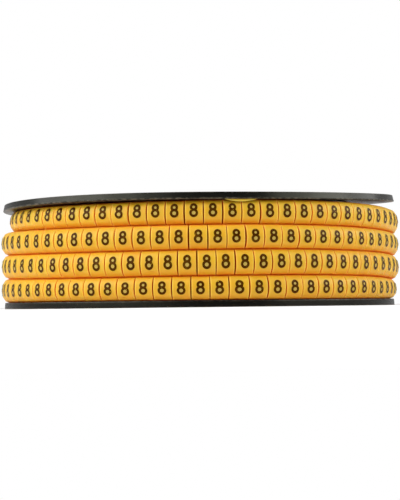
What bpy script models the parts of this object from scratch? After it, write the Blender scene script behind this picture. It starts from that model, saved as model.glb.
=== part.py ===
# A roll of cable markers: one long strip of soft tube, cut nearly through into short markers and wound in
# two layers on a moulded reel. The reel is two halves: the lower one carries the drum, and the upper one
# plugs into it.
# Metres, +Z up. The reel's axis is Z and its lower face lies on Z = 0.
# Angles are in degrees round the axis, from the front (-Y) towards +X.

import math

import bmesh
import bpy
from mathutils import Matrix, Vector

MM = 0.001

# Flanges
FLANGE_DEPTH = 12.3 * MM
FLANGE_THICKNESS = 2.05 * MM
RIM_DRAFT = 0.5 * MM
RIM_CORNER = 0.35 * MM
REEL_SEGMENTS = 60
SHARP_ANGLE = 30.0

# Drum, hub and the joint between the halves
DRUM_RADIUS = 50.2 * MM
DRUM_WALL = 1.6 * MM
BORE_RADIUS = 15.0 * MM
HUB_WALL = 2.0 * MM
HUB_STANDOFF = 4.0 * MM
SPIGOT_LENGTH = 8.0 * MM
SPIGOT_WALL = 1.4 * MM
SPIGOT_CLEARANCE = 0.2 * MM
SEAT_GAP = 0.3 * MM

# Windows between four spokes, and a stiffening rib on each spoke
SPOKES = 4
SPOKE_WIDTH = 12.0 * MM
WINDOW_MARGIN = 1.5 * MM
WINDOW_CORNER = 4.0 * MM
WINDOW_OUTER_STEPS = 8
WINDOW_INNER_STEPS = 3
WINDOW_CORNER_STEPS = 3
RIB_THICKNESS = 1.4 * MM
RIB_HEIGHT = 6.0 * MM

# The upper half sits crooked on the over-full winding, and its rim is sprung a little out of flat
DRUM_SHORTFALL = 0.25 * MM
TILT = 1.6
TILT_TOWARDS = 138.0
UPPER_SHIFT = 0.3 * MM
RIM_WARP = 0.68 * MM

# One marker: an oval tube, flattened where it lies against its neighbours
MARKER_LENGTH = 5.02 * MM
TUBE_HEIGHT = 7.15 * MM
TUBE_DEPTH = 6.35 * MM
CAP_DEPTH = 2.3 * MM
WEB_THICKNESS = 0.7 * MM
WEB_FOOT_SHARE = 0.35
BORE_OF_TUBE = 3.4 * MM
END_WALL = 1.0 * MM
CAP_STEPS = 5

# The winding: a row for each turn, counted from the lower flange, from the drum outwards
ROW_OF_TURN = (1, 2, 3, 4, 3, 2, 1)
CLIMBING_TURN = 3
TURN_GAP = 0.15 * MM
LAYER_GAP = 0.2 * MM
ROW_LEAN = 0.8 * MM
ROW_WAVE = 0.65 * MM
CROSSING_HALF_ANGLE = 40.0
PLAIN_STEP = 2
END_MARGIN = 10.0

# The turn in the top row climbs from the inner layer to the outer one
RAMP_END = -83.0
CLIMB_END = 83.0
SUNK_DEPTH = 2.7 * MM

# Where a marker's middle falls in each turn of the outer layer, over the stretch that faces the front
FRONT_ARC = 95.0
TURN_PHASES = {3: -1.6, 4: -0.7, 5: -3.3, 6: 0.0}

BLACK_PLASTIC = (0.018, 0.018, 0.016)
YELLOW_PVC = (0.88, 0.52, 0.055)


def direction(angle):
    """Unit vector from the axis at this angle."""
    turn = math.radians(angle)
    return Vector((math.sin(turn), -math.cos(turn), 0.0))


def smooth(share):
    """Runs from 0 to 1 with level ends."""
    share = min(max(share, 0.0), 1.0)
    return share * share * (3.0 - 2.0 * share)


def blend(first, second, share):
    return first + (second - first) * share


# The reel's levels and radii, worked out from the sizes above
def flange_radius():
    return DRUM_RADIUS + FLANGE_DEPTH


def drum_top():
    """The drum is a little shorter than the rows that it holds."""
    return FLANGE_THICKNESS + max(ROW_OF_TURN) * TUBE_HEIGHT - DRUM_SHORTFALL


def tilt_slope():
    return math.tan(math.radians(TILT))


def upper_origin_height():
    """Height of the upper flange's underside on the axis: its low side rests on the drum's end."""
    return drum_top() + SEAT_GAP + DRUM_RADIUS * tilt_slope()


def rim_warp(radius, angle):
    """How far the sprung rim stands up from flat."""
    reach = max(0.0, (radius - DRUM_RADIUS) / FLANGE_DEPTH)
    return -RIM_WARP * reach * reach * math.sin(math.radians(2.0 * angle))


def underside_height(radius, angle):
    """Height of the upper flange's underside over this point."""
    slope = tilt_slope() * math.cos(math.radians(angle - TILT_TOWARDS))
    return upper_origin_height() + radius * slope + rim_warp(radius, angle)


def spigot_fit():
    """Radial clearance that lets the upper half sit crooked and to one side."""
    return SPIGOT_CLEARANCE + UPPER_SHIFT + SPIGOT_LENGTH * tilt_slope()


def drum_inner_radius():
    return DRUM_RADIUS - DRUM_WALL


def spigot_outer_radius():
    return drum_inner_radius() - spigot_fit()


def spigot_inner_radius():
    return spigot_outer_radius() - SPIGOT_WALL


def hub_radius():
    return BORE_RADIUS + HUB_WALL


def collar_inner_radius():
    return hub_radius() + spigot_fit()


def collar_outer_radius():
    return collar_inner_radius() + SPIGOT_WALL


def hub_top():
    """The lower hub tube stands inside the upper half's collar."""
    return upper_origin_height() - HUB_STANDOFF


# Shared building steps
def clear_scene():
    for item in list(bpy.data.objects):
        bpy.data.objects.remove(item, do_unlink=True)


def plastic(name, colour, roughness):
    material = bpy.data.materials.new(name)
    material.use_nodes = True
    shader = material.node_tree.nodes["Principled BSDF"]
    shader.inputs["Base Color"].default_value = (*colour, 1.0)
    shader.inputs["Roughness"].default_value = roughness
    shader.inputs["Metallic"].default_value = 0.0
    return material


def object_from(name, bm, material=None):
    """Closes the bmesh into a new object, faces outwards and round parts smooth."""
    bmesh.ops.recalc_face_normals(bm, faces=bm.faces)
    mesh = bpy.data.meshes.new(name)
    bm.to_mesh(mesh)
    bm.free()
    if material:
        mesh.materials.append(material)
    item = bpy.data.objects.new(name, mesh)
    bpy.context.scene.collection.objects.link(item)
    return item


def turned(profile):
    """Spins a closed outline of (radius, height) points once round the axis."""
    bm = bmesh.new()
    points = [bm.verts.new((radius, 0.0, height)) for radius, height in profile]
    edges = [bm.edges.new((a, b)) for a, b in zip(points, points[1:] + points[:1])]
    bmesh.ops.spin(
        bm,
        geom=points + edges,
        cent=(0.0, 0.0, 0.0),
        axis=(0.0, 0.0, 1.0),
        angle=math.tau,
        steps=REEL_SEGMENTS,
        use_merge=True,
    )
    bmesh.ops.remove_doubles(bm, verts=bm.verts, dist=0.001 * MM)
    return bm


def as_helper(item):
    item.hide_render = True
    item.display_type = "WIRE"
    return item


def combine(item, helper, operation):
    modifier = item.modifiers.new(helper.name, "BOOLEAN")
    modifier.operation = operation
    modifier.solver = "EXACT"
    modifier.object = helper


def apply_modifiers(item):
    """Replaces the object's mesh by what its modifiers make of it."""
    bpy.context.view_layer.update()
    graph = bpy.context.evaluated_depsgraph_get()
    mesh = bpy.data.meshes.new_from_object(item.evaluated_get(graph))
    item.modifiers.clear()
    item.data = mesh


def finish_round(item):
    item.data.shade_smooth()
    item.data.set_sharp_from_angle(angle=math.radians(SHARP_ANGLE))


# Windows and ribs, the same in both halves
def window_outline(bm, middle_angle, height):
    """One window: a stretch of ring between two spokes, with rounded corners."""
    inner = collar_outer_radius() + WINDOW_MARGIN
    outer = spigot_inner_radius() - WINDOW_MARGIN

    def arc(radius, steps, way):
        half_span = 180.0 / SPOKES - math.degrees(math.asin(SPOKE_WIDTH / 2.0 / radius))
        shares = [way * (2.0 * step / steps - 1.0) for step in range(steps + 1)]
        ends = [direction(middle_angle + half_span * share) * radius for share in shares]
        return [bm.verts.new((end.x, end.y, height)) for end in ends]

    outer_arc = arc(outer, WINDOW_OUTER_STEPS, 1.0)
    inner_arc = arc(inner, WINDOW_INNER_STEPS, -1.0)
    bm.faces.new(outer_arc + inner_arc)
    corners = [outer_arc[0], outer_arc[-1], inner_arc[0], inner_arc[-1]]
    bmesh.ops.bevel(
        bm, geom=corners, offset=WINDOW_CORNER, segments=WINDOW_CORNER_STEPS, profile=0.5, affect="VERTICES"
    )


def windows(name, low, high):
    """Cutter for all the windows of one flange."""
    bm = bmesh.new()
    for index in range(SPOKES):
        window_outline(bm, index * 360.0 / SPOKES, low)
    made = bmesh.ops.extrude_face_region(bm, geom=bm.faces[:])
    lifted = [part for part in made["geom"] if isinstance(part, bmesh.types.BMVert)]
    bmesh.ops.translate(bm, verts=lifted, vec=(0.0, 0.0, high - low))
    return as_helper(object_from(name, bm))


def ribs(name, inner, outer, low, high):
    """Thin upright walls along the spokes, from the hub to the drum."""
    bm = bmesh.new()
    for index in range(SPOKES):
        angle = (index + 0.5) * 360.0 / SPOKES
        middle = direction(angle) * blend(inner, outer, 0.5)
        middle.z = blend(low, high, 0.5)
        turned_to_spoke = Matrix.Rotation(math.radians(angle), 4, "Z")
        sized = Matrix.Diagonal((RIB_THICKNESS, outer - inner, high - low, 1.0))
        bmesh.ops.create_cube(bm, size=1.0, matrix=Matrix.Translation(middle) @ turned_to_spoke @ sized)
    return as_helper(object_from(name, bm))


# Lower half: flange, drum and hub tube in one moulding
def make_lower_half(material):
    rim = flange_radius() - RIM_DRAFT
    profile = (
        (BORE_RADIUS, 0.0),
        (rim - RIM_CORNER, 0.0),
        (rim, RIM_CORNER),
        (flange_radius(), FLANGE_THICKNESS),
        (DRUM_RADIUS, FLANGE_THICKNESS),
        (DRUM_RADIUS, drum_top()),
        (drum_inner_radius(), drum_top()),
        (drum_inner_radius(), FLANGE_THICKNESS),
        (hub_radius(), FLANGE_THICKNESS),
        (hub_radius(), hub_top()),
        (BORE_RADIUS, hub_top()),
    )
    half = object_from("lower_half", turned(profile), material)
    in_hub = blend(BORE_RADIUS, hub_radius(), 0.5)
    in_drum = blend(drum_inner_radius(), DRUM_RADIUS, 0.5)
    stiffeners = ribs(
        "lower_ribs", in_hub, in_drum, FLANGE_THICKNESS / 2.0, FLANGE_THICKNESS + RIB_HEIGHT
    )
    combine(half, stiffeners, "UNION")
    combine(half, windows("lower_windows", -FLANGE_THICKNESS, 2.0 * FLANGE_THICKNESS), "DIFFERENCE")
    apply_modifiers(half)
    finish_round(half)
    return half


# Upper half: flange with a spigot that plugs into the drum and a collar round the hub tube
def make_upper_half(material):
    rim = flange_radius() - RIM_DRAFT
    profile = (
        (BORE_RADIUS, 0.0),
        (collar_inner_radius(), 0.0),
        (collar_inner_radius(), -SPIGOT_LENGTH),
        (collar_outer_radius(), -SPIGOT_LENGTH),
        (collar_outer_radius(), 0.0),
        (spigot_inner_radius(), 0.0),
        (spigot_inner_radius(), -SPIGOT_LENGTH),
        (spigot_outer_radius(), -SPIGOT_LENGTH),
        (spigot_outer_radius(), 0.0),
        (DRUM_RADIUS, 0.0),
        (flange_radius(), 0.0),
        (rim, FLANGE_THICKNESS - RIM_CORNER),
        (rim - RIM_CORNER, FLANGE_THICKNESS),
        (DRUM_RADIUS, FLANGE_THICKNESS),
        (BORE_RADIUS, FLANGE_THICKNESS),
    )
    half = object_from("upper_half", turned(profile), material)
    in_collar = blend(collar_inner_radius(), collar_outer_radius(), 0.5)
    in_spigot = blend(spigot_inner_radius(), spigot_outer_radius(), 0.5)
    combine(half, ribs("upper_ribs", in_collar, in_spigot, -RIB_HEIGHT, FLANGE_THICKNESS / 2.0), "UNION")
    combine(half, windows("upper_windows", -FLANGE_THICKNESS, 2.0 * FLANGE_THICKNESS), "DIFFERENCE")
    apply_modifiers(half)
    for vertex in half.data.vertices:
        radius = math.hypot(vertex.co.x, vertex.co.y)
        angle = math.degrees(math.atan2(vertex.co.x, -vertex.co.y))
        vertex.co.z += rim_warp(radius, angle)
    uphill = direction(TILT_TOWARDS)
    tilt = Matrix.Rotation(math.radians(TILT), 4, uphill.cross(Vector((0.0, 0.0, 1.0))))
    half.matrix_world = Matrix.Translation((-UPPER_SHIFT, 0.0, upper_origin_height())) @ tilt
    finish_round(half)
    return half


# The winding's lay
def seam_height(level, angle):
    """Height of the seam over this many rows. The winding leans down towards +X and isn't quite level."""
    height = FLANGE_THICKNESS + level * TUBE_HEIGHT
    if level == 0:
        return height + SEAT_GAP
    turn = math.radians(angle)
    height += ROW_WAVE * math.sin(2.0 * turn) - ROW_LEAN * math.sin(turn)
    if level == max(ROW_OF_TURN):
        across = [blend(DRUM_RADIUS, flange_radius(), share) for share in (0.0, 0.5, 1.0)]
        height = min([height] + [underside_height(radius, angle) - SEAT_GAP for radius in across])
    return height


def row_limits(turn, angle):
    """Lower and upper seam of this turn. Behind the reel the strip crosses over to the next turn's row."""
    row = ROW_OF_TURN[turn]
    here = [seam_height(row - 1, angle), seam_height(row, angle)]
    past = abs(angle) - (180.0 - CROSSING_HALF_ANGLE)
    neighbour = turn + (1 if angle > 0.0 else -1)
    if past <= 0.0 or not 0 <= neighbour < len(ROW_OF_TURN):
        return here
    row = ROW_OF_TURN[neighbour]
    there = [seam_height(row - 1, angle), seam_height(row, angle)]
    share = smooth(past / (2.0 * CROSSING_HALF_ANGLE))
    return [blend(a, b, share) for a, b in zip(here, there)]


def inner_web_radius():
    return DRUM_RADIUS + SEAT_GAP


def plain_step_angle():
    """Angle between the sections of the covered inner layer."""
    return 2.0 * math.degrees(math.asin(PLAIN_STEP * MARKER_LENGTH / 2.0 / inner_web_radius()))


def outer_web_radius():
    """The outer layer lies on the corners of the inner one."""
    corner = inner_web_radius() / math.cos(math.radians(plain_step_angle() / 2.0))
    return corner + TUBE_DEPTH + LAYER_GAP


def marker_step():
    """Angle of one marker in the outer layer."""
    return 2.0 * math.degrees(math.asin(MARKER_LENGTH / 2.0 / (outer_web_radius() + WEB_THICKNESS)))


def web_radius(turn, angle):
    """Radius of the strip's inner face."""
    inner = inner_web_radius()
    outer = outer_web_radius()
    if turn < CLIMBING_TURN:
        return inner
    if turn > CLIMBING_TURN or angle >= CLIMB_END:
        return outer
    ramp_start = CROSSING_HALF_ANGLE - 180.0
    if angle < RAMP_END:
        return blend(inner, outer - SUNK_DEPTH, smooth((angle - ramp_start) / (RAMP_END - ramp_start)))
    return outer - SUNK_DEPTH * (CLIMB_END - angle) / (CLIMB_END - RAMP_END)


def evenly(first, last, radius, length):
    """Angles after first, up to and with last, about this length apart at this radius."""
    count = max(1, round(math.radians(last - first) * radius / length))
    return [blend(first, last, (step + 1) / count) for step in range(count)]


def front_stations(turn):
    """Cuts that face the front, a whole marker apart, as angles within the turn."""
    step = marker_step()
    first = TURN_PHASES[turn] + step / 2.0
    low = math.ceil((-FRONT_ARC - first) / step)
    high = math.floor((FRONT_ARC - first) / step)
    return [first + index * step for index in range(low, high + 1)]


def stations():
    """Every section of the strip from the drum outwards, as angles counted on through all the turns."""
    free_end = 180.0 - CROSSING_HALF_ANGLE - END_MARGIN
    inner_end = CLIMBING_TURN * 360.0 - 180.0
    plain = [-free_end]
    plain += evenly(plain[0], inner_end, inner_web_radius(), PLAIN_STEP * MARKER_LENGTH)
    marks = list(plain)
    for turn in sorted(TURN_PHASES):
        front = [turn * 360.0 + angle for angle in front_stations(turn)]
        radius = outer_web_radius() + WEB_THICKNESS
        if turn == CLIMBING_TURN:
            radius = blend(inner_web_radius(), outer_web_radius() - SUNK_DEPTH, 0.5) + WEB_THICKNESS
        marks += evenly(marks[-1], front[0], radius, MARKER_LENGTH)
        marks += front[1:]
    tail = (len(ROW_OF_TURN) - 1) * 360.0 + free_end
    marks += evenly(marks[-1], tail, outer_web_radius() + WEB_THICKNESS, MARKER_LENGTH)
    return marks, len(plain) - 1


def make_marker_strip(material):
    marks, plain_count = stations()
    bm = bmesh.new()

    def place(mark, step):
        """Hinge radius, half height and middle height of the section here."""
        turn = math.floor((mark + 180.0) / 360.0)
        turn = min(turn, len(ROW_OF_TURN) - 1)
        angle = mark - turn * 360.0
        low, high = row_limits(turn, angle)
        radius = web_radius(turn, angle) / math.cos(math.radians(step / 2.0))
        return radius + WEB_THICKNESS, (high - low - TURN_GAP) / 2.0, (high + low) / 2.0

    def local_step(index):
        before = marks[index] - marks[index - 1] if index > 0 else 0.0
        after = marks[index + 1] - marks[index] if index < len(marks) - 1 else 0.0
        return max(before, after)

    sections = [place(mark, local_step(index)) for index, mark in enumerate(marks)]
    cap_middle = TUBE_DEPTH - CAP_DEPTH - WEB_THICKNESS
    cap_reach = CAP_DEPTH / math.cos(math.radians(90.0 / CAP_STEPS))
    hinge_share = math.sqrt(1.0 - ((CAP_DEPTH - WEB_THICKNESS) / CAP_DEPTH) ** 2)

    def point(index, outwards, along, frame_angle):
        """A corner: so far outwards from the hinge line and so far up, in the frame of a marker."""
        hinge_radius, _, middle = sections[index]
        at = direction(marks[index]) * hinge_radius + direction(frame_angle) * outwards
        return bm.verts.new((at.x, at.y, middle + along))

    def web_ring(index):
        half = sections[index][1]
        angle = marks[index]
        return [
            point(index, 0.0, hinge_share * half, angle),
            point(index, -WEB_THICKNESS, WEB_FOOT_SHARE * half, angle),
            point(index, -WEB_THICKNESS, -WEB_FOOT_SHARE * half, angle),
            point(index, 0.0, -hinge_share * half, angle),
        ]

    def cap_ring(index, frame_angle):
        half = sections[index][1]
        ring = []
        for step in range(CAP_STEPS + 1):
            lean = math.radians(90.0 - step * 180.0 / CAP_STEPS)
            outwards = cap_middle + cap_reach * math.cos(lean)
            ring.append(point(index, outwards, half * math.sin(lean), frame_angle))
        return ring

    def open_end(ring, index, inwards, depth):
        """Closes a free end round the start of the tube's own bore."""
        centre = sum((vertex.co for vertex in ring), Vector()) / len(ring)
        outwards = direction(marks[index])
        mouth = []
        floor = []
        for vertex in ring:
            spoke = vertex.co - centre
            flat = Vector((spoke.dot(outwards), spoke.z)).normalized() * BORE_OF_TUBE / 2.0
            at = centre + outwards * flat.x + Vector((0.0, 0.0, flat.y))
            mouth.append(bm.verts.new(at))
            floor.append(bm.verts.new(at + inwards * depth))
        count = len(ring)
        for step in range(count):
            following = (step + 1) % count
            bm.faces.new((ring[step], ring[following], mouth[following], mouth[step]))
            bm.faces.new((mouth[step], mouth[following], floor[following], floor[step]))
        bm.faces.new(floor)

    webs = [web_ring(index) for index in range(len(marks))]
    last = len(marks) - 1
    shared = None
    for index in range(last):
        plain = index < plain_count
        middle_angle = (marks[index] + marks[index + 1]) / 2.0
        if plain:
            start = shared or cap_ring(index, marks[index])
            end = cap_ring(index + 1, marks[index + 1])
            shared = end
        else:
            start = cap_ring(index, middle_angle)
            end = cap_ring(index + 1, middle_angle)
        near, far = webs[index], webs[index + 1]
        near_loop = near[:1] + start + near[:0:-1]
        far_loop = far[:1] + end + far[:0:-1]
        count = len(near_loop)
        for step in range(count):
            following = (step + 1) % count
            bm.faces.new((near_loop[step], near_loop[following], far_loop[following], far_loop[step]))
        along = direction(middle_angle + 90.0)
        depth = (far[0].co - near[0].co).length - END_WALL
        if index == 0:
            open_end(near_loop, index, along, depth)
        elif not plain:
            bm.faces.new([near[0]] + start + [near[3]])
        if index == last - 1:
            open_end(far_loop, index + 1, -along, depth)
        elif not plain or index == plain_count - 1:
            bm.faces.new([far[0]] + end + [far[3]])
    return object_from("marker_strip", bm, material)


def main():
    clear_scene()
    reel_plastic = plastic("black_plastic", BLACK_PLASTIC, 0.42)
    make_lower_half(reel_plastic)
    make_upper_half(reel_plastic)
    make_marker_strip(plastic("yellow_pvc", YELLOW_PVC, 0.5))


main()
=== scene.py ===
# %% [markdown]
# # A reel of cable markers
#
# The real object is one long strip of soft yellow tube, cut nearly through every 5 mm. Each of the
# short tubes that this leaves carries a printed 8. One is torn off and slipped over a wire to number
# it. The strip is wound in two layers on a black plastic reel of two halves.
#
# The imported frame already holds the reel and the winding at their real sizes. This script keeps to
# those sizes and gives every surface its look. All lengths are in metres, the reel's axis is Z, and
# angles are in degrees round the axis, from the front (-Y) towards +X.

# %% Load the frame
import math

import bmesh
import bpy
from mathutils import Matrix, Vector
from mathutils.bvhtree import BVHTree


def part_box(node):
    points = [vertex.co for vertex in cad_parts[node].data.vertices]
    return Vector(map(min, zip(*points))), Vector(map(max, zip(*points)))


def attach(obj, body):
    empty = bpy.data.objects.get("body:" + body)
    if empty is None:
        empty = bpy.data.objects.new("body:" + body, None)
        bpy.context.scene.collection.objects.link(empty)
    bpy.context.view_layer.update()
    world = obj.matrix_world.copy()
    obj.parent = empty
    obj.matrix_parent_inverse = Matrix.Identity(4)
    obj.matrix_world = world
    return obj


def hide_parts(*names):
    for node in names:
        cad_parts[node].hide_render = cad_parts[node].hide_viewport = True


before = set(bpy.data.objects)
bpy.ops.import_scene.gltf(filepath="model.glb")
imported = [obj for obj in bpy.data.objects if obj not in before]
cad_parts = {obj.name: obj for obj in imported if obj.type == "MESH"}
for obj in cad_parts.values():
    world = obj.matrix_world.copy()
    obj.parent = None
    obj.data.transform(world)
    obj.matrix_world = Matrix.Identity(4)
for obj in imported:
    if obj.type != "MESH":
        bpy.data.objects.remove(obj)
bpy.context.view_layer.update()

MM = 0.001

# %% [markdown]
# ## Where everything sits
#
# The reel is a flange, a drum and a second flange. On the real object the upper half doesn't sit
# straight: the winding is a little too full, so the flange leans and its rim is sprung. The strip
# could be placed by eye, but a winding follows a rule, so its rows, its crossings at the back and its
# climb from the inner to the outer layer are worked out here by the same rule as in the frame.
#
# A rule is more even than a hand-fed machine, so two small corrections come on top of it: each seam
# between two rows is moved by up to 0.3 mm, and the last turn is pulled in by 0.75 mm on the right,
# where the strip's end drew it tight.

# %% Sizes of the reel
lower_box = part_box("lower_half")
FLANGE_RADIUS = lower_box[1].x
DRUM_TOP = lower_box[1].z
FLANGE_THICKNESS = 2.05 * MM
FLANGE_DEPTH = 12.3 * MM
DRUM_RADIUS = FLANGE_RADIUS - FLANGE_DEPTH
SEAT_GAP = 0.3 * MM
TILT = 1.6
TILT_TOWARDS = 138.0
RIM_WARP = 0.68 * MM
UPPER_HEIGHT = DRUM_TOP + SEAT_GAP + DRUM_RADIUS * math.tan(math.radians(TILT))
print(f"flange radius {FLANGE_RADIUS / MM:.2f} mm, drum radius {DRUM_RADIUS / MM:.2f} mm")


# %% Helpers for places and blends
def direction(angle):
    """Unit vector from the axis at this angle."""
    turn = math.radians(angle)
    return Vector((math.sin(turn), -math.cos(turn), 0.0))


def smooth(share):
    """Runs from 0 to 1 with level ends."""
    share = min(max(share, 0.0), 1.0)
    return share * share * (3.0 - 2.0 * share)


def between(first, second, share):
    """The value that lies this share of the way from the first to the second."""
    return first + (second - first) * share


# %% The leaning upper flange
def rim_warp(radius, angle):
    """How far the sprung rim of the upper flange stands up from flat."""
    reach = max(0.0, (radius - DRUM_RADIUS) / FLANGE_DEPTH)
    return -RIM_WARP * reach * reach * math.sin(math.radians(2.0 * angle))


def underside_height(radius, angle):
    """Height of the upper flange's underside over this point."""
    slope = math.tan(math.radians(TILT)) * math.cos(math.radians(angle - TILT_TOWARDS))
    return UPPER_HEIGHT + radius * slope + rim_warp(radius, angle)


for side, angle in (("front", 0.0), ("right", 90.0), ("back", 180.0), ("left", -90.0)):
    print(f"rim's underside, {side}: {underside_height(FLANGE_RADIUS, angle) / MM:.2f} mm up")

# %% Sizes of the strip
MARKER_LENGTH = 5.02 * MM
TUBE_HEIGHT = 7.15 * MM
TUBE_DEPTH = 6.35 * MM
CAP_DEPTH = 2.3 * MM
WEB_THICKNESS = 0.7 * MM
BORE = 3.4 * MM
TURN_GAP = 0.04 * MM
CONTACT_GAP = 0.04 * MM
LAYER_GAP = 0.2 * MM
print(f"a marker is {MARKER_LENGTH / MM:.2f} x {TUBE_DEPTH / MM:.2f} x {TUBE_HEIGHT / MM:.2f} mm")

# %% Rules of the winding
# Turns 0 to 2 are the inner layer, turn 3 climbs in the top row, and turns 4 to 6 come back down.
ROW_OF_TURN = (1, 2, 3, 4, 3, 2, 1)
ROWS = max(ROW_OF_TURN)
CLIMBING_TURN = 3
LAST_TURN = len(ROW_OF_TURN) - 1
CROSSING_HALF_ANGLE = 40.0
END_BEFORE_CROSSING = 10.0
FREE_END = 180.0 - CROSSING_HALF_ANGLE - END_BEFORE_CROSSING

# The seams lean down towards +X and wave. A trimmed seam is raised, and leans more, by these two.
ROW_LEAN = 0.8 * MM
ROW_WAVE = 0.65 * MM
SEAM_TRIM = {1: (-0.22 * MM, 0.06 * MM), 2: (0.08 * MM, 0.08 * MM), 3: (0.0, 0.22 * MM)}

# In front, the climbing turn is still sunk between its neighbours, and comes out to the right.
RAMP_END = -83.0
CLIMB_END = 83.0
SUNK_DEPTH = 2.7 * MM

# The last turn is pulled in between these two angles.
PULLED_IN = 0.75 * MM
PULLED_FROM = (45.0, 85.0)

# In front, each turn has a marker at this angle. One gap in the last turn stands a little open: the
# cuts past the first angle are moved on by the second.
FRONT_ARC = 95.0
TURN_PHASES = {3: -1.4, 4: -0.45, 5: -3.35, 6: 0.0}
SLACK_GAPS = {6: (10.0, 0.45)}

# The covered layer bends at every second cut, so the outer one starts clear of its corners.
INNER_WEB = DRUM_RADIUS + SEAT_GAP
COVERED_STEP = 2.0 * math.asin(MARKER_LENGTH / INNER_WEB)
OUTER_WEB = INNER_WEB / math.cos(COVERED_STEP / 2.0) + TUBE_DEPTH + LAYER_GAP
HINGE_RADIUS = OUTER_WEB + WEB_THICKNESS
MARKER_STEP = 2.0 * math.degrees(math.asin(MARKER_LENGTH / 2.0 / HINGE_RADIUS))
print(f"outer layer starts at {OUTER_WEB / MM:.2f} mm, a marker every {MARKER_STEP:.3f} degrees")


# %% The lay of the rows
def seam_height(level, angle):
    """Height of the seam over this many rows. The top one also stays clear of the flange."""
    height = FLANGE_THICKNESS + level * TUBE_HEIGHT
    if level == 0:
        return height + CONTACT_GAP
    turn = math.radians(angle)
    height += ROW_WAVE * math.sin(2.0 * turn) - ROW_LEAN * math.sin(turn)
    raised, leaning = SEAM_TRIM.get(level, (0.0, 0.0))
    height += raised - leaning * math.sin(turn)
    if level == ROWS:
        across = [between(DRUM_RADIUS, FLANGE_RADIUS, share) for share in (0.0, 0.5, 1.0)]
        limits = [underside_height(radius, angle) - CONTACT_GAP for radius in across]
        height = min([height] + limits)
    return height


def row_limits(turn, angle):
    """Lower and upper seam of this turn. Behind the reel the strip crosses to the next turn's row."""
    row = ROW_OF_TURN[turn]
    here = [seam_height(row - 1, angle), seam_height(row, angle)]
    past = abs(angle) - (180.0 - CROSSING_HALF_ANGLE)
    neighbour = turn + (1 if angle > 0.0 else -1)
    if past <= 0.0 or not 0 <= neighbour <= LAST_TURN:
        return here
    row = ROW_OF_TURN[neighbour]
    there = [seam_height(row - 1, angle), seam_height(row, angle)]
    share = smooth(past / (2.0 * CROSSING_HALF_ANGLE))
    return [between(a, b, share) for a, b in zip(here, there)]


def web_radius(turn, angle):
    """Radius of the strip's inner face, which climbs to the outer layer in the top row."""
    if turn < CLIMBING_TURN:
        return INNER_WEB
    if turn == LAST_TURN:
        first, full = PULLED_FROM
        return OUTER_WEB - PULLED_IN * smooth((angle - first) / (full - first))
    if turn > CLIMBING_TURN or angle >= CLIMB_END:
        return OUTER_WEB
    ramp_start = CROSSING_HALF_ANGLE - 180.0
    if angle < RAMP_END:
        share = smooth((angle - ramp_start) / (RAMP_END - ramp_start))
        return between(INNER_WEB, OUTER_WEB - SUNK_DEPTH, share)
    return OUTER_WEB - SUNK_DEPTH * (CLIMB_END - angle) / (CLIMB_END - RAMP_END)


seams = [f"{seam_height(level, 0.0) / MM:.2f}" for level in range(ROWS + 1)]
print("seams in front, in mm:", ", ".join(seams))


# %% The cuts, as angles counted on through all the turns
def evenly(first, last, radius):
    """Angles after first, up to and with last, about a marker apart at this radius."""
    count = max(1, round(math.radians(last - first) * radius / MARKER_LENGTH))
    return [between(first, last, (step + 1) / count) for step in range(count)]


def front_cuts(turn, first):
    """Cuts in front, both ways from this one. Where the strip lies deeper, they are further apart."""
    cuts = [first]
    while cuts[-1] < FRONT_ARC:
        cuts.append(cuts[-1] + MARKER_STEP * OUTER_WEB / web_radius(turn, cuts[-1]))
    while cuts[0] > -FRONT_ARC:
        cuts.insert(0, cuts[0] - MARKER_STEP * OUTER_WEB / web_radius(turn, cuts[0]))
    slack_from, slack = SLACK_GAPS.get(turn, (FRONT_ARC, 0.0))
    return [turn * 360.0 + cut + (slack if cut > slack_from else 0.0) for cut in cuts]


def cut_angles():
    """Every cut, from the free end on the drum to the free end outside."""
    marks = [-FREE_END]
    marks += evenly(marks[0], CLIMBING_TURN * 360.0 - 180.0, INNER_WEB + WEB_THICKNESS)
    for turn, phase in sorted(TURN_PHASES.items()):
        front = front_cuts(turn, phase + MARKER_STEP / 2.0)
        radius = HINGE_RADIUS
        if turn == CLIMBING_TURN:
            radius = between(INNER_WEB, OUTER_WEB - SUNK_DEPTH, 0.5) + WEB_THICKNESS
        marks += evenly(marks[-1], front[0], radius)
        marks += front[1:]
    return marks + evenly(marks[-1], LAST_TURN * 360.0 + FREE_END, HINGE_RADIUS)


CUTS = cut_angles()
print(len(CUTS), "cuts, both free ends among them")


# %% The line that the markers hinge on
def strip_path(first_turn=0, raised=None, leaning=None):
    """A point at each cut, which knows half the row's height, and an edge for each marker."""
    points = []
    halves = []
    for index, cut in enumerate(CUTS):
        turn = min(math.floor((cut + 180.0) / 360.0), LAST_TURN)
        low, high = row_limits(turn, cut - turn * 360.0)
        step = CUTS[min(index + 1, len(CUTS) - 1)] - CUTS[max(index - 1, 0)]
        radius = web_radius(turn, cut - turn * 360.0) / math.cos(math.radians(step / 4.0))
        point = direction(cut) * (radius + WEB_THICKNESS)
        point.z = (low + high) / 2.0 + (raised or {}).get(turn, 0.0)
        point.z -= (leaning or {}).get(turn, 0.0) * math.sin(math.radians(cut))
        points.append(point)
        halves.append((high - low - TURN_GAP) / 2.0)
    first = sum(cut < first_turn * 360.0 - 180.0 for cut in CUTS)
    numbers = list(range(first, len(points) - 1))
    mesh = bpy.data.meshes.new("strip_path")
    mesh.from_pydata(points, [(number, number + 1) for number in numbers], [])
    mesh.attributes.new("half_height", "FLOAT", "POINT").data.foreach_set("value", halves)
    mesh.attributes.new("number", "INT", "EDGE").data.foreach_set("value", numbers)
    return mesh


path_mesh = strip_path()
knots = [vertex.co for vertex in path_mesh.vertices]
strip_length = sum((after - before).length for before, after in zip(knots, knots[1:]))
print(f"{len(path_mesh.edges)} markers on {strip_length:.3f} m of strip")

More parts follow.
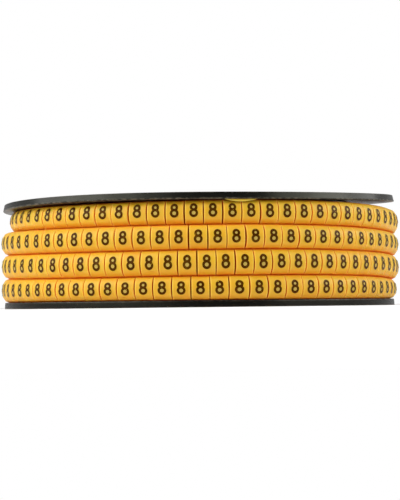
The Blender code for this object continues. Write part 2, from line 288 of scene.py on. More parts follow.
# %% [markdown]
# ## One marker
#
# A marker is a short piece of oval tube. Its bore takes the wire, and its ends are where the blade
# went through. It could be a plain cylinder, but the cut edges are what catches the light beside
# every gap, so the outline is an oval with straight flanks, and each end gets a small round edge. It
# is one ring after another, joined into a closed band: bore, end face, edge, outside, edge, end face
# and back into the bore. It stays under a hundred faces, because it is repeated hundreds of times.
#
# Two attributes go with its points, and the finish reads them. One marks a painted highlight along
# the edges beside each cut. The other is painted shade, by how far a point lies from the light: 0 on
# the open face, 1 where two rows touch, and 3 in the bore. A gap is too narrow for the renderer to
# find its warm shade by itself.

# %% The tube's outline
HALF_HEIGHT = (TUBE_HEIGHT - TURN_GAP) / 2.0
FACE_STEPS = 6
BACK_STEPS = 3
FACE_CENTRE = TUBE_DEPTH - CAP_DEPTH - WEB_THICKNESS
BACK_CENTRE = CAP_DEPTH - WEB_THICKNESS
EDGE = 0.1 * MM
FLARE = 0.02 * MM
LIP = 0.4 * MM


def tube_outline():
    """Points (outwards, up) round the oval: down the printed face, then up the back."""
    points = []
    for step in range(FACE_STEPS + 1):
        lean = math.radians(90.0 - 180.0 * step / FACE_STEPS)
        points.append((FACE_CENTRE + CAP_DEPTH * math.cos(lean), HALF_HEIGHT * math.sin(lean)))
    for step in range(BACK_STEPS + 1):
        lean = math.radians(-90.0 + 180.0 * step / BACK_STEPS)
        points.append((BACK_CENTRE - CAP_DEPTH * math.cos(lean), HALF_HEIGHT * math.sin(lean)))
    return points


OUTLINE_POINTS = len(tube_outline())
print("the oval has", OUTLINE_POINTS, "points")


# %% From rings of points to a piece
def join_rings(bm, near, far):
    """Joins two rings with as many points each by four-sided faces."""
    for index in range(len(near)):
        after = (index + 1) % len(near)
        bm.faces.new((near[index], near[after], far[after], far[index]))


def mesh_object(name, bm, sharp_angle=None):
    """Turns a worked mesh into an object. With an angle, it is smooth except where it bends more."""
    bmesh.ops.recalc_face_normals(bm, faces=bm.faces)
    mesh = bpy.data.meshes.new(name)
    bm.to_mesh(mesh)
    bm.free()
    if sharp_angle:
        mesh.shade_smooth()
        mesh.set_sharp_from_angle(angle=math.radians(sharp_angle))
    made = bpy.data.objects.new(name, mesh)
    bpy.context.scene.collection.objects.link(made)
    return made


def mark_points(piece, label, values):
    """Gives every point of a piece a number that its finish can read."""
    piece.data.attributes.new(label, "FLOAT", "POINT").data.foreach_set("value", values)


# %% How much painted shade and painted highlight each point of a marker gets
# One number of painted shade and one of painted highlight for each ring, from bore to bore.
RING_SHADE = (3.0, 0.1, 0.0, 0.0, 0.0, 0.0, 0.1, 3.0)
RING_HIGHLIGHTS = (0.0, 1.0, 0.6, 0.0, 0.0, 0.6, 1.0, 0.0)

# Painted shade at stops (place, amount) from the tube's top at -1 to its bottom at 1, which lies in
# more shade.
ROW_SHADE = (
    (-1.0, 0.6),
    (-0.92, 0.08),
    (-0.7, 0.0),
    (0.38, 0.0),
    (0.71, 0.08),
    (0.92, 0.28),
    (1.0, 0.75),
)


def ramp_between(stops, place):
    """The value at this place on straight lines between (place, value) stops."""
    for (first, low), (last, high) in zip(stops, stops[1:]):
        if place <= last:
            return between(low, high, max(0.0, (place - first) / (last - first)))
    return stops[-1][1]


def mark_cuts(marker):
    """Marks how much painted shade each point gets, and the painted highlight beside the cuts."""
    depths = []
    highlights = []
    for index, vertex in enumerate(marker.data.vertices):
        ring = index // OUTLINE_POINTS
        near_row = ramp_between(ROW_SHADE, -vertex.co.z / HALF_HEIGHT)
        depths.append(max(RING_SHADE[ring], near_row))
        highlights.append(RING_HIGHLIGHTS[ring])
    mark_points(marker, "depth", depths)
    mark_points(marker, "edge_highlight", highlights)


# %% The marker
# The tube's middle, measured outwards from the hinge line.
CORE = TUBE_DEPTH / 2.0 - WEB_THICKNESS


def tube_ring(along, share):
    """The oval at this place along the marker, drawn in to this share of its size."""
    points = []
    for out, up in tube_outline():
        out = between(CORE, out, share)
        flared = along + math.copysign(FLARE, along) * out / (TUBE_DEPTH - WEB_THICKNESS)
        points.append((flared, -out, up * share))
    return points


def bore_ring(along):
    """The round bore at this place along the marker, a point for each point of the oval."""
    points = []
    for out, up in tube_outline():
        lean = math.atan2(up, out - CORE)
        points.append((along, -CORE - BORE / 2.0 * math.cos(lean), BORE / 2.0 * math.sin(lean)))
    return points


def make_marker():
    """One marker at the origin: X along the strip, -Y outwards, Z up, and the hinge line on Y = 0."""
    half = MARKER_LENGTH / 2.0
    trimmed = 1.0 - EDGE / HALF_HEIGHT
    places = (
        bore_ring(-half),
        tube_ring(-half, trimmed),
        tube_ring(EDGE - half, 1.0),
        tube_ring(LIP - half, 1.0),
        tube_ring(half - LIP, 1.0),
        tube_ring(half - EDGE, 1.0),
        tube_ring(half, trimmed),
        bore_ring(half),
    )
    bm = bmesh.new()
    rings = [[bm.verts.new(place) for place in ring] for ring in places]
    for near, far in zip(rings, rings[1:] + rings[:1]):
        join_rings(bm, near, far)
    marker = mesh_object("marker_shape", bm, sharp_angle=50.0)
    mark_cuts(marker)
    return marker


marker_shape = make_marker()
print("one marker has", len(marker_shape.data.polygons), "faces")

# %% [markdown]
# ## The printed figure
#
# The 8 is pressed on in dark ink before the strip is wound. It could be a text object, but a font
# brings hundreds of points to a shape that is repeated hundreds of times. Two rings that share a
# waist are enough: each outer outline is an ellipse that stops at the waist line, and each hole is an
# ellipse of its own. A thin grey film of ink fills the holes. Both are made flat, in front of the
# tube, and are pressed onto its round face once the strip is wound.

# %% Sizes of the figure
FIGURE_HEIGHT = 4.05 * MM
LOWER_WIDTH = 2.62 * MM
UPPER_WIDTH = 2.28 * MM
STROKE = 0.75 * MM
WAIST_SHARE = 0.54
WAIST = (WAIST_SHARE - 0.5) * FIGURE_HEIGHT
FILM_STANDOFF = TUBE_DEPTH + 1.0 * MM
SAME_PLACE = 0.001 * MM
ARC_STEPS = 12
WAIST_STEPS = 3


def loop_sizes(width, end):
    """Centre and half sizes of the loop between the waist and this end of the figure."""
    hole_ends = (WAIST + math.copysign(STROKE / 2.0, end), end - math.copysign(STROKE, end))
    centre = (hole_ends[0] + hole_ends[1]) / 2.0
    return centre, width / 2.0, abs(hole_ends[0] - hole_ends[1]) / 2.0 + STROKE


def waist_reach(centre, half_width, half_height):
    """Half the loop's width where it meets the waist line."""
    return half_width * math.sqrt(1.0 - ((WAIST - centre) / half_height) ** 2)


LOWER_LOOP = loop_sizes(LOWER_WIDTH, -FIGURE_HEIGHT / 2.0)
UPPER_LOOP = loop_sizes(UPPER_WIDTH, FIGURE_HEIGHT / 2.0)
print(f"the figure's waist is {WAIST / MM:.2f} mm above its middle")


# %% The figure
def figure_loop(bm, sizes, reach):
    """A ring of faces round one hole. Its outline stops at the waist line, this far to each side."""
    centre, half_width, half_height = sizes
    way = math.copysign(1.0, WAIST - centre)
    start = math.asin(way * (WAIST - centre) / half_height)
    outside = []
    for step in range(ARC_STEPS + 1):
        lean = start - (math.pi + 2.0 * start) * step / ARC_STEPS
        outside.append((half_width * math.cos(lean), centre + way * half_height * math.sin(lean)))
    outside[0] = (reach, WAIST)
    outside[-1] = (-reach, WAIST)
    outside += [(reach * (2.0 * step / WAIST_STEPS - 1.0), WAIST) for step in range(1, WAIST_STEPS)]
    hole_width = half_width - STROKE
    hole_height = half_height - STROKE
    inside = []
    for x, z in outside:
        lean = math.atan2((z - centre) / hole_height, x / hole_width)
        inside.append((hole_width * math.cos(lean), centre + hole_height * math.sin(lean)))
    rings = [[bm.verts.new((x, -FILM_STANDOFF, z)) for x, z in ring] for ring in (outside, inside)]
    join_rings(bm, *rings)


def make_figure():
    """The printed 8 as a flat film in front of the marker, in the marker's own frame."""
    reach = (waist_reach(*LOWER_LOOP) + waist_reach(*UPPER_LOOP)) / 2.0
    bm = bmesh.new()
    figure_loop(bm, LOWER_LOOP, reach)
    figure_loop(bm, UPPER_LOOP, reach)
    bmesh.ops.remove_doubles(bm, verts=bm.verts, dist=SAME_PLACE)
    return mesh_object("figure_shape", bm)


figure_shape = make_figure()
print("one figure has", len(figure_shape.data.polygons), "faces")


# %% The film of ink in its holes
def make_haze():
    """The thin grey film that the hot ink leaves inside both loops."""
    bm = bmesh.new()
    for centre, half_width, half_height in (LOWER_LOOP, UPPER_LOOP):
        middle = bm.verts.new((0.0, -FILM_STANDOFF, centre))
        ring = []
        for step in range(ARC_STEPS):
            lean = math.tau * step / ARC_STEPS
            across = (half_width - STROKE) * math.cos(lean)
            up = centre + (half_height - STROKE) * math.sin(lean)
            ring.append(bm.verts.new((across, -FILM_STANDOFF, up)))
        for near, far in zip(ring, ring[1:] + ring[:1]):
            bm.faces.new((middle, near, far))
    return mesh_object("haze_shape", bm)


haze_shape = make_haze()
print("one film of ink has", len(haze_shape.data.polygons), "faces")

# %% [markdown]
# ## Nodes from Python
#
# Both the winding and the finishes are node trees. Adding nodes one by one hides what they work out,
# so a small class wraps a socket and lets sums be written as sums. Everything else goes through one
# method, which takes the node's type, its settings and the values or wires of its inputs.

# %% A socket that can be used in sums
class Wire:
    """One socket of a node tree. Without a socket, it is only a place to start from."""

    def __init__(self, tree, socket=None):
        self.tree = tree
        self.socket = socket

    def node(self, kind, settings=None, values=None, output=0):
        """Adds a node to the tree and returns the wire that leaves it."""
        made = self.tree.nodes.new(kind)
        settings = dict(settings or {})
        stops = settings.pop("stops", ())
        for name, value in settings.items():
            setattr(made, name, value)
        for index, (position, colour) in enumerate(stops):
            if index > 1:
                made.color_ramp.elements.new(position)
            made.color_ramp.elements[index].position = position
            made.color_ramp.elements[index].color = colour
        for key, value in (values or {}).items():
            if isinstance(value, Wire):
                self.tree.links.new(value.socket, made.inputs[key])
            else:
                made.inputs[key].default_value = value
        return Wire(self.tree, made.outputs[output])

    def out(self, name):
        """Another output of the same node."""
        return Wire(self.tree, self.socket.node.outputs[name])

    def math(self, operation, *values):
        places = dict(enumerate((self, *values)))
        return self.node("ShaderNodeMath", {"operation": operation}, places)

    def vector_math(self, operation, *values, output=0):
        places = dict(enumerate((self, *values)))
        return self.node("ShaderNodeVectorMath", {"operation": operation}, places, output)

    def __add__(self, other):
        return self.math("ADD", other)

    def __sub__(self, other):
        return self.math("SUBTRACT", other)

    def __mul__(self, other):
        return self.math("MULTIPLY", other)

    def __truediv__(self, other):
        return self.math("DIVIDE", other)

    def __rsub__(self, other):
        return (self * -1.0) + other

    __radd__ = __add__
    __rmul__ = __mul__


# %% [markdown]
# ## Winding the strip
#
# About 460 markers lie along the winding. They could be copied by a Python loop, but this is what
# Geometry Nodes are for: each edge of the path becomes one point, turned so that the marker lies
# along the strip with its face outwards, and stretched to the length and height that the row has
# there. A little random lean, a little shift along the strip and a little difference in tone come
# from a fixed seed. The same tree lays the figures and their films of ink, so each 8 gets exactly the
# place and the lean of its own marker.

# %% A tree with named inputs
STRIP_INPUTS = {
    "Geometry": "NodeSocketGeometry",
    "Shape": "NodeSocketObject",
    "Unit Length": "NodeSocketFloat",
    "Unit Half Height": "NodeSocketFloat",
    "Lean": "NodeSocketFloat",
    "Stray": "NodeSocketFloat",
    "Seed": "NodeSocketInt",
    "Finish": "NodeSocketMaterial",
}


def tree_with_inputs(name, inputs):
    """A Geometry Nodes tree with these named inputs, and a wire from each."""
    tree = bpy.data.node_groups.new(name, "GeometryNodeTree")
    for label, kind in inputs.items():
        tree.interface.new_socket(label, in_out="INPUT", socket_type=kind)
    tree.interface.new_socket("Geometry", in_out="OUTPUT", socket_type="NodeSocketGeometry")
    entry = tree.nodes.new("NodeGroupInput")
    return tree, {label: Wire(tree, entry.outputs[label]) for label in inputs}


def finish_tree(tree, instances, material):
    """Ends a tree with real geometry and its material."""
    real = instances.node("GeometryNodeRealizeInstances", None, {0: instances})
    finished = real.node("GeometryNodeSetMaterial", None, {"Geometry": real, "Material": material})
    tree.links.new(finished.socket, tree.nodes.new("NodeGroupOutput").inputs[0])


# %% The tree that sets a shape on every stretch of the strip
def set_on_strip_tree():
    """Each edge becomes a point, each point a shape, and the shapes differ a little at random."""
    tree, given = tree_with_inputs("set_on_strip", STRIP_INPUTS)
    start = Wire(tree)
    ends = start.node("GeometryNodeInputMeshEdgeVertices")
    along = ends.out("Position 2").vector_math("SUBTRACT", ends.out("Position 1"))
    capture = tree.nodes.new("GeometryNodeCaptureAttribute")
    capture.domain = "EDGE"
    capture.capture_items.new("VECTOR", "Along")
    tree.links.new(given["Geometry"].socket, capture.inputs["Geometry"])
    tree.links.new(along.socket, capture.inputs["Along"])
    along = Wire(tree, capture.outputs["Along"])
    path = Wire(tree, capture.outputs[0])
    points = start.node("GeometryNodeMeshToPoints", {"mode": "EDGES"}, {"Mesh": path})

    inwards = start.node("GeometryNodeInputPosition").vector_math("MULTIPLY", (-1.0, -1.0, 0.0))
    rotation = start.node(
        "FunctionNodeAxesToRotation",
        {"primary_axis": "X", "secondary_axis": "Y"},
        {"Primary Axis": along, "Secondary Axis": inwards},
    )
    named = "GeometryNodeInputNamedAttribute"
    number = start.node(named, {"data_type": "INT"}, {"Name": "number"})
    spread = {"data_type": "FLOAT_VECTOR"}
    values = {0: (-1.0, -1.0, -1.0), 1: (1.0, 1.0, 1.0), "ID": number, "Seed": given["Seed"]}
    lean = start.node("FunctionNodeRandomValue", spread, values).vector_math("SCALE")
    tree.links.new(given["Lean"].socket, lean.socket.node.inputs["Scale"])
    local = {"rotation_space": "LOCAL"}
    rotation = start.node("FunctionNodeRotateRotation", local, {0: rotation, 1: lean})

    length = along.vector_math("LENGTH", output="Value") / given["Unit Length"]
    half = start.node(named, {"data_type": "FLOAT"}, {"Name": "half_height"})
    height = half / given["Unit Half Height"]
    scale = start.node("ShaderNodeCombineXYZ", None, {0: length, 1: 1.0, 2: height})
    shape = start.node("GeometryNodeObjectInfo", None, {"Object": given["Shape"]}).out("Geometry")
    instances = start.node(
        "GeometryNodeInstanceOnPoints",
        None,
        {"Points": points, "Instance": shape, "Rotation": rotation, "Scale": scale},
    )

    plain = {"data_type": "FLOAT"}
    values = {2: -1.0, 3: 1.0, "ID": number, "Seed": given["Seed"] + 1.0}
    stray = start.node("FunctionNodeRandomValue", plain, values, 1)
    shift = start.node("ShaderNodeCombineXYZ", None, {0: stray * given["Stray"]})
    instances = start.node("GeometryNodeTranslateInstances", None, {0: instances, "Translation": shift})
    values = {2: 0.0, 3: 1.0, "ID": number, "Seed": given["Seed"] + 2.0}
    tone = start.node("FunctionNodeRandomValue", plain, values, 1)
    instances = start.node(
        "GeometryNodeStoreNamedAttribute",
        {"data_type": "FLOAT", "domain": "INSTANCE"},
        {"Geometry": instances, "Name": "tone", "Value": tone},
    )
    finish_tree(tree, instances, given["Finish"])
    return tree


strip_tree = set_on_strip_tree()
print("the winding's tree has", len(strip_tree.nodes), "nodes")


# %% Running a tree and keeping its result
def settle(piece):
    """Puts the result of a piece's modifiers in the place of its mesh."""
    bpy.context.view_layer.update()
    graph = bpy.context.evaluated_depsgraph_get()
    result = bpy.data.meshes.new_from_object(piece.evaluated_get(graph))
    piece.modifiers.clear()
    piece.data = result


def grown(name, mesh, tree, values):
    """Runs the tree on a mesh with these named values and keeps the result as a plain mesh."""
    made = bpy.data.objects.new(name, mesh)
    bpy.context.scene.collection.objects.link(made)
    modifier = made.modifiers.new("grow", "NODES")
    modifier.node_group = tree
    inputs = [item for item in tree.interface.items_tree if item.in_out == "INPUT"]
    sockets = {item.name: item.identifier for item in inputs}
    for label, value in values.items():
        modifier[sockets[label]] = value
    settle(made)
    made.data.name = name
    print(f"{name}: {len(made.data.polygons)} faces")
    return made


# %% [markdown]
# ## The finishes
#
# The tube is soft PVC, a strong warm yellow that light enters a little way. Subsurface scattering does
# most of that, but light that has gone through many turns of tube costs the renderer too long, so the
# deep places get painted shade, orange at the seams and under the rows and brown-red on the cut faces,
# the edges beside each cut get a painted cream highlight, and a faint glow of painted light stands in
# for the light that soaks through. The ink is nearly black-brown, with a low sheen and worn spots. The
# reel is black moulded plastic that has been handled: a satin skin, dust, and duller, greyer edges on
# its rims. A single colour would look like a toy in each case, so noise at the right scale moves the
# colour, the gloss and the height.

# %% Parts of every finish
def new_finish(name):
    """A material, a wire to start from in its tree, and its main shader node."""
    material = bpy.data.materials.new(name)
    material.use_nodes = True
    shader = material.node_tree.nodes["Principled BSDF"]
    return material, Wire(material.node_tree), shader


def plug(shader, name, value):
    """Links a wire to a socket of the shader, or sets the socket's own value."""
    if isinstance(value, Wire):
        value.tree.links.new(value.socket, shader.inputs[name])
    else:
        shader.inputs[name].default_value = value


def speckle(start, place, size, detail=2.0):
    """Soft noise with features of about this size, mostly between 0.3 and 0.7."""
    values = {"Vector": place, "Scale": 1.0 / size, "Detail": detail}
    return start.node("ShaderNodeTexNoise", None, values)


def mixed(start, share, first, second):
    """A colour between two others."""
    values = {0: share, 6: first, 7: second}
    return start.node("ShaderNodeMix", {"data_type": "RGBA"}, values, 2)


def ramped(start, value, low, high):
    """0 below low, 1 above high, and straight between them."""
    values = {"Value": value, "From Min": low, "From Max": high}
    return start.node("ShaderNodeMapRange", {"clamp": True}, values)


def bumped(start, height, distance):
    """A surface that rises by this distance where the height is 1."""
    return start.node("ShaderNodeBump", None, {"Height": height, "Distance": distance})


# %% Yellow PVC
YELLOW = (0.785, 0.476, 0.021, 1.0)
WARM_YELLOW = (0.785, 0.418, 0.013, 1.0)
# Painted shade: orange at the seams and under the rows, brown-red on the cut faces and in the bores.
SHADE_ORANGE = (0.72, 0.055, 0.0, 1.0)
CUT_SHADE_RED = (0.26, 0.055, 0.0, 1.0)
# A painted highlight in cream beside each cut, and glows of painted light on the highlights and in the
# shade.
HIGHLIGHT_CREAM = (0.92, 0.68, 0.13, 1.0)
NO_GLOW = (0.0, 0.0, 0.0, 1.0)
LIP_GLOW = (0.07, 0.04, 0.003, 1.0)
DEEP_GLOW = (0.06, 0.005, 0.0, 1.0)
CLOUD_SIZE = 9.0 * MM
GRAIN_SIZE = 0.35 * MM
GRAIN_HEIGHT = 0.02 * MM


def yellow_pvc():
    """Soft yellow tube. Its points say how much painted shade and painted highlight they get, and its
    tone.
    """
    material, start, shader = new_finish("yellow_pvc")
    place = start.node("ShaderNodeTexCoord").out("Object")
    tone = start.node("ShaderNodeAttribute", {"attribute_name": "tone"}).out("Fac")
    cloudy = speckle(start, place, CLOUD_SIZE)
    share = ramped(start, cloudy + tone * 0.3, 0.45, 1.0)
    inside = start.node("ShaderNodeAttribute", {"attribute_name": "depth"}).out("Fac")
    depth = ramped(start, inside, 0.0, 1.0)
    cut_shade = ramped(start, inside, 0.8, 1.6)
    edge_highlight = start.node("ShaderNodeAttribute", {"attribute_name": "edge_highlight"}).out("Fac")
    # A painted highlight beside the cuts, then painted shade over it: orange, and brown-red where
    # deepest.
    colour = mixed(start, edge_highlight * 0.5, mixed(start, share, YELLOW, WARM_YELLOW), HIGHLIGHT_CREAM)
    colour = mixed(start, depth, colour, SHADE_ORANGE)
    plug(shader, "Base Color", mixed(start, cut_shade, colour, CUT_SHADE_RED))
    grain = speckle(start, place, GRAIN_SIZE, 3.0)
    plug(shader, "Roughness", cloudy * 0.2 + grain * 0.12 + depth * 0.4 + 0.26)
    plug(shader, "Specular IOR Level", 0.36)
    plug(shader, "Normal", bumped(start, grain, GRAIN_HEIGHT))
    # A glow of painted light on the highlights and in the shaded places.
    glow = mixed(start, depth, mixed(start, edge_highlight, NO_GLOW, LIP_GLOW), DEEP_GLOW)
    plug(shader, "Emission Color", glow)
    plug(shader, "Emission Strength", 1.0)
    plug(shader, "Subsurface Weight", 0.6)
    plug(shader, "Subsurface Radius", (1.0, 0.6, 0.25))
    plug(shader, "Subsurface Scale", 1.4 * MM)
    return material


# %% Ink
INK = (0.058, 0.0165, 0.0, 1.0)
FADED_INK = (0.11, 0.042, 0.002, 1.0)
FADED_PATCH = 1.6 * MM
WORN_SPOT = 0.5 * MM


def printing_ink():
    """Brown-black ink, faded in patches, with worn spots where the yellow shows."""
    material, start, shader = new_finish("printing_ink")
    place = start.node("ShaderNodeTexCoord").out("Object")
    faded = ramped(start, speckle(start, place, FADED_PATCH), 0.45, 0.8)
    worn = ramped(start, speckle(start, place, WORN_SPOT, 1.0), 0.76, 0.79)
    colour = mixed(start, worn, mixed(start, faded, INK, FADED_INK), YELLOW)
    plug(shader, "Base Color", colour)
    plug(shader, "Roughness", faded * 0.2 + 0.35)
    plug(shader, "Specular IOR Level", 0.18)
    plug(shader, "Specular Tint", (1.0, 0.68, 0.25, 1.0))
    return material


# %% The film of ink
HAZE = (0.47, 0.37, 0.075, 1.0)
THIN_HAZE = (0.60, 0.40, 0.05, 1.0)


def ink_haze():
    """Ink that is so thin that the yellow shines through it."""
    material, start, shader = new_finish("ink_haze")
    place = start.node("ShaderNodeTexCoord").out("Object")
    plug(shader, "Base Color", mixed(start, speckle(start, place, 0.9 * MM), HAZE, THIN_HAZE))
    plug(shader, "Roughness", 0.5)
    plug(shader, "Specular IOR Level", 0.3)
    return material


# %% Black plastic
BLACK = (0.006, 0.006, 0.005, 1.0)
SCUFFED = (0.14, 0.12, 0.085, 1.0)
FLOW_SIZE = 3.0 * MM
SCRATCH_SIZE = 1.1 * MM
DUST_SIZE = 0.6 * MM
SKIN_SIZE = 0.8 * MM
SKIN_HEIGHT = 0.003 * MM


def black_plastic():
    """Satin black with dust on it, greyer and duller where its wear attribute is above 0."""
    material, start, shader = new_finish("black_plastic")
    place = start.node("ShaderNodeTexCoord").out("Object")
    wear = start.node("ShaderNodeAttribute", {"attribute_name": "wear"}).out("Fac")
    flow_lines = speckle(start, place.vector_math("MULTIPLY", (1.0, 1.0, 0.2)), FLOW_SIZE)
    scratches = ramped(start, speckle(start, place, SCRATCH_SIZE, 4.0), 0.42, 0.62)
    dust = ramped(start, speckle(start, place, DUST_SIZE), 0.66, 0.72)
    plug(shader, "Base Color", mixed(start, wear * scratches + dust * 0.1, BLACK, SCUFFED))
    plug(shader, "Roughness", flow_lines * 0.08 + wear * 0.15 + 0.2)
    plug(shader, "Normal", bumped(start, speckle(start, place, SKIN_SIZE), SKIN_HEIGHT))
    plug(shader, "Specular IOR Level", 0.25)
    plug(shader, "Specular Tint", (1.0, 1.0, 0.8, 1.0))
    return material


finishes = {
    "markers": yellow_pvc(),
    "ink": printing_ink(),
    "haze": ink_haze(),
    "reel": black_plastic(),
}
print("finishes:", sorted(finishes))

# %% [markdown]
# ## The strip and its print
#
# Now the tree runs three times along the winding: for the tubes, for the figures and for the films of
# ink. On the real object the print lies flat on a round face. A texture could give that, but the
# figures are shapes here, so that they stay sharp from close by and go into the exported mesh. Each of
# their points is moved towards the reel's axis until it lies a hair above the tube that it meets.

# %% Pressing the print onto the strip
INK_PROUD = 0.09 * MM
HAZE_PROUD = 0.07 * MM


def press_on(film, ground, proud):
    """Moves each point of a film towards the reel's axis until it lies this far above the ground."""
    places = [vertex.co for vertex in ground.data.vertices]
    faces = [tuple(face.vertices) for face in ground.data.polygons]
    tree = BVHTree.FromPolygons(places, faces)
    for vertex in film.data.vertices:
        inwards = Vector((-vertex.co.x, -vertex.co.y, 0.0)).normalized()
        found = tree.ray_cast(vertex.co, inwards)[0]
        vertex.co = found - inwards * proud


# %% The strip's free ends
# How much painted shade the bore's edge keeps at each free end.
END_SHADE = 0.3


def bare_ends(strip):
    """Both free ends stand in the light, so the edge of their bore gets less painted shade."""
    depths = strip.data.attributes["depth"].data
    last_ring = len(depths) - OUTLINE_POINTS
    for index in (*range(OUTLINE_POINTS), *range(last_ring, len(depths))):
        depths[index].value = END_SHADE


# %% Wind the markers and their figures
# How far each turn's print sits above the middle of its row, and how it leans. The inner turns are
# covered, so they carry no print.
FIGURE_RAISED = {3: 0.55 * MM, 4: 0.17 * MM, 5: 0.2 * MM, 6: 0.08 * MM}
FIGURE_LEAN = {3: 0.4 * MM, 4: 0.05 * MM}

# How unevenly the markers lie: a little turned, and a little shifted along the strip.
LEAN = math.radians(0.5)
STRAY = 0.07 * MM
SEED = 8


def wound(name, mesh, shape, finish):
    """Sets a shape on every stretch of a path."""
    values = {
        "Shape": shape,
        "Unit Length": MARKER_LENGTH,
        "Unit Half Height": HALF_HEIGHT,
        "Lean": LEAN,
        "Stray": STRAY,
        "Seed": SEED,
        "Finish": finishes[finish],
    }
    return grown(name, mesh, strip_tree, values)


markers = wound("wound_markers", path_mesh, marker_shape, "markers")
bare_ends(markers)
figure_path = strip_path(CLIMBING_TURN, FIGURE_RAISED, FIGURE_LEAN)
figures = wound("printed_figures", figure_path, figure_shape, "ink")
haze = wound("printed_haze", figure_path, haze_shape, "haze")
press_on(figures, markers, INK_PROUD)
press_on(haze, markers, HAZE_PROUD)
for helper in (marker_shape, figure_shape, haze_shape):
    bpy.data.objects.remove(helper, do_unlink=True)
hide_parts("marker_strip")
for piece in (markers, figures, haze):
    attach(piece, "root")

# %% [markdown]
# ## The reel
#
# Each half is a turned form with windows cut through its flange and a rib on every spoke. The frame's
# own halves have 60 sides, which is right for fitting and for collision, but a rim that is seen
# against white shows every corner. So each half is turned again here, finer and with its edges
# rounded, from the same sizes. A spin of one closed outline gives the whole section at once.
#
# A mould's rim is never quite square to the flange: each rim narrows or widens a little from its outer
# face to the side where the strip lies. The edges are where hands and benches have worn it pale.

# %% Sizes of the mouldings
UPPER_SHIFT = 0.3 * MM
LOWER_SHIFT = 0.3 * MM
BORE_RADIUS = 15.0 * MM
HUB_RADIUS = BORE_RADIUS + 2.0 * MM
DRUM_INSIDE = DRUM_RADIUS - 1.6 * MM
SPIGOT_LENGTH = 8.0 * MM
SPIGOT_WALL = 1.4 * MM
SPIGOT_FIT = 0.2 * MM + UPPER_SHIFT + SPIGOT_LENGTH * math.tan(math.radians(TILT))
SPIGOT_OUTSIDE = DRUM_INSIDE - SPIGOT_FIT
COLLAR_INSIDE = HUB_RADIUS + SPIGOT_FIT
HUB_TOP = UPPER_HEIGHT - 4.0 * MM
SPOKES = 4
SPOKE_WIDTH = 12.0 * MM
WINDOW_MARGIN = 1.5 * MM
WINDOW_CORNER = 4.0 * MM
RIB_THICKNESS = 1.4 * MM
RIB_HEIGHT = 6.0 * MM
print(f"spigot {SPIGOT_OUTSIDE / MM:.2f} mm, collar {COLLAR_INSIDE / MM:.2f} mm in radius")

# %% The rims
# How much narrower each rim is than the flange, on its outer face and on the strip's side.
UPPER_DRAFT = (0.16 * MM, -0.28 * MM)
LOWER_DRAFT = (0.0, 0.14 * MM)
RIM_CORNER = 0.1 * MM
RIM_EDGE = 0.25 * MM
WORN_WIDTH = 0.3 * MM


def quarter(centre, radius, first, last, steps=3):
    """A rounded corner of an outline, as (radius, height) points between two angles."""
    angles = [math.radians(between(first, last, step / steps)) for step in range(steps + 1)]
    return [(centre[0] + radius * math.cos(a), centre[1] + radius * math.sin(a)) for a in angles]


def rim_outline(draft):
    """A flange's rim, from its outer face at height 0 round to its inner face, where the strip lies."""
    first, last = (FLANGE_RADIUS - narrower for narrower in draft)
    heights = (RIM_CORNER + WORN_WIDTH, FLANGE_THICKNESS - RIM_EDGE - WORN_WIDTH)
    face = [(between(first, last, height / FLANGE_THICKNESS), height) for height in heights]
    return (
        [(first - RIM_CORNER - WORN_WIDTH, 0.0)]
        + quarter((first - RIM_CORNER, RIM_CORNER), RIM_CORNER, -90.0, 0.0)
        + face
        + quarter((last - RIM_EDGE, FLANGE_THICKNESS - RIM_EDGE), RIM_EDGE, 0.0, 90.0)
        + [(last - RIM_EDGE - WORN_WIDTH, FLANGE_THICKNESS)]
    )


print("the lower rim has", len(rim_outline(LOWER_DRAFT)), "points in its outline")


# %% Windows and ribs
def window_cutter(low, high):
    """All four windows of one flange: stretches of a ring between the spokes, with rounded corners."""
    inner = COLLAR_INSIDE + SPIGOT_WALL + WINDOW_MARGIN
    outer = SPIGOT_OUTSIDE - SPIGOT_WALL - WINDOW_MARGIN
    bm = bmesh.new()
    for index in range(SPOKES):
        corners = []
        outline = []
        for radius, steps, way in ((outer, 24, 1.0), (inner, 8, -1.0)):
            span = 180.0 / SPOKES - math.degrees(math.asin(SPOKE_WIDTH / 2.0 / radius))
            for step in range(steps + 1):
                angle = index * 360.0 / SPOKES + way * span * (2.0 * step / steps - 1.0)
                end = direction(angle) * radius
                outline.append(bm.verts.new((end.x, end.y, low)))
            corners += [outline[-steps - 1], outline[-1]]
        bm.faces.new(outline)
        rounded = {"offset": WINDOW_CORNER, "segments": 6, "profile": 0.5, "affect": "VERTICES"}
        bmesh.ops.bevel(bm, geom=corners, **rounded)
    made = bmesh.ops.extrude_face_region(bm, geom=bm.faces[:])
    lifted = [part for part in made["geom"] if isinstance(part, bmesh.types.BMVert)]
    bmesh.ops.translate(bm, verts=lifted, vec=(0.0, 0.0, high - low))
    return mesh_object("window_cutter", bm)


def rib_block(inner, outer, low, high):
    """Thin upright walls along the spokes, from the hub to the drum."""
    bm = bmesh.new()
    for index in range(SPOKES):
        angle = (index + 0.5) * 360.0 / SPOKES
        middle = direction(angle) * (inner + outer) / 2.0
        middle.z = (low + high) / 2.0
        sized = Matrix.Diagonal((RIB_THICKNESS, outer - inner, high - low, 1.0))
        turn = Matrix.Rotation(math.radians(angle), 4, "Z")
        bmesh.ops.create_cube(bm, size=1.0, matrix=Matrix.Translation(middle) @ turn @ sized)
    return mesh_object("rib_block", bm)


# %% Moulding one half
SOFT_EDGE = 0.12 * MM
TURNED_STEPS = 180


def turned(outline):
    """Spins a closed outline of (radius, height) points once round the axis."""
    bm = bmesh.new()
    points = [bm.verts.new((radius, 0.0, height)) for radius, height in outline]
    edges = [bm.edges.new(pair) for pair in zip(points, points[1:] + points[:1])]
    bmesh.ops.spin(
        bm,
        geom=points + edges,
        cent=(0, 0, 0),
        axis=(0, 0, 1),
        angle=math.tau,
        steps=TURNED_STEPS,
        use_merge=True,
    )
    bmesh.ops.remove_doubles(bm, verts=bm.verts, dist=SAME_PLACE)
    return bm


